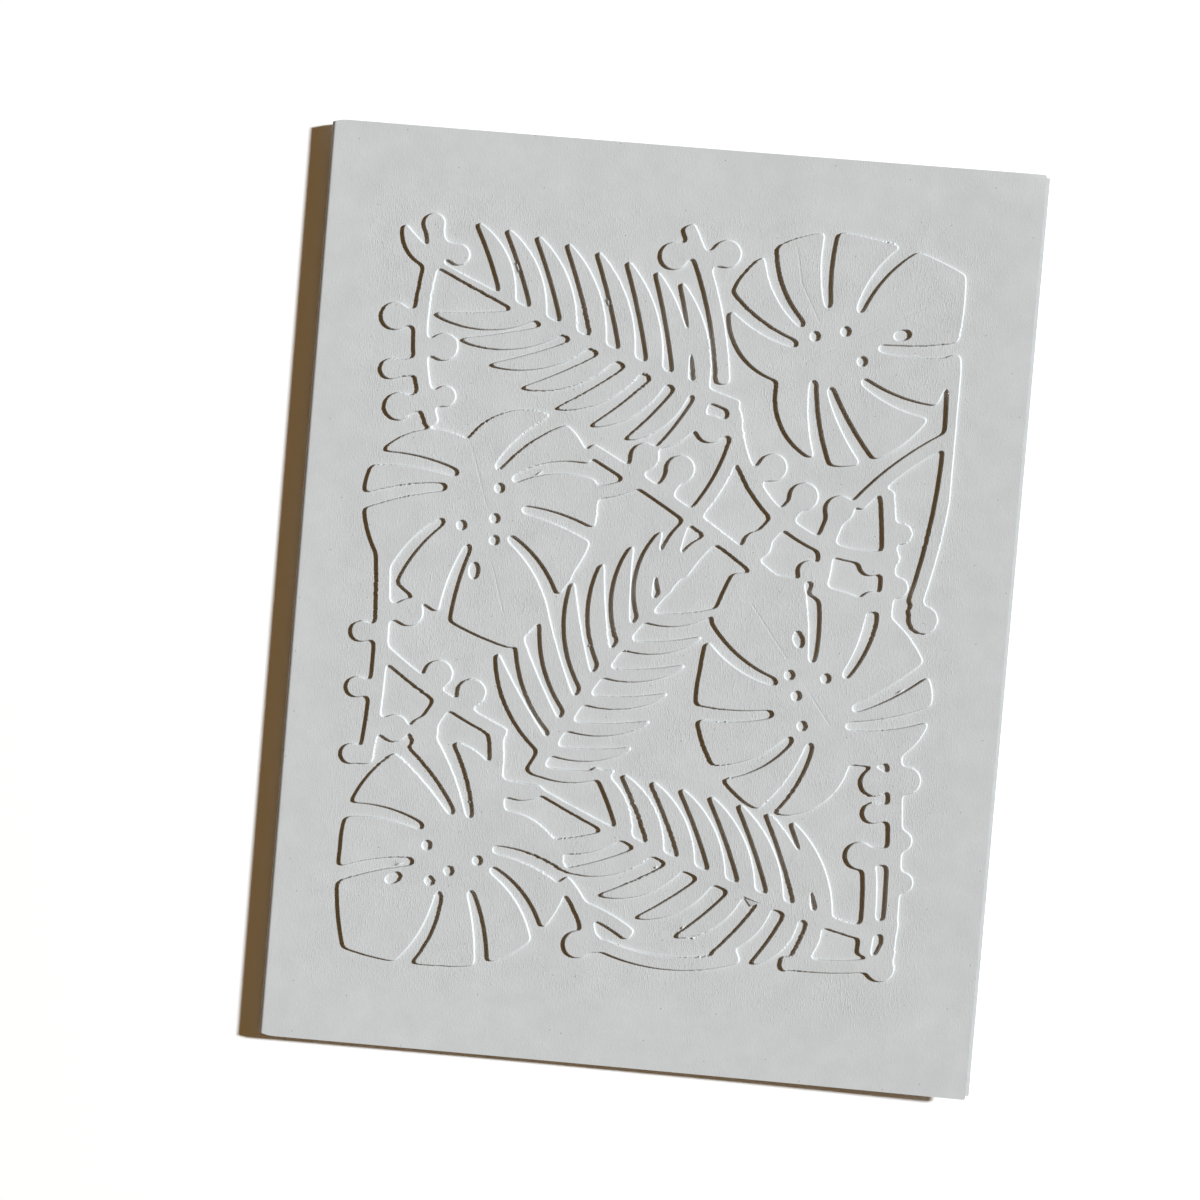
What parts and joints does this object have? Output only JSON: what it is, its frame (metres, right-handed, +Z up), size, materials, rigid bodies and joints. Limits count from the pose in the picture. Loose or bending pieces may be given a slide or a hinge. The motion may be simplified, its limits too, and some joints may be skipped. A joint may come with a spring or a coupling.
{
  "type": "greeting card",
  "caption": "Folded greeting card of heavy white paper, lying closed, its front panel embossed all over with split leaves, palm fronds and berry sprigs.",
  "frame": {"origin": "middle of the card's footprint, on the surface that its back panel lies on", "axes": "+X from the fold to the open edge, +Y up the card towards the top of its design, +Z up out of the front panel"},
  "size_m": [0.1088, 0.14, 0.0033],
  "materials": {
    "card_paper": "uncoated matte white card, about 300 g/m2, blind embossed"
  },
  "bodies": {
    "root": {"card": "card_paper"}
  },
  "joints": []
}
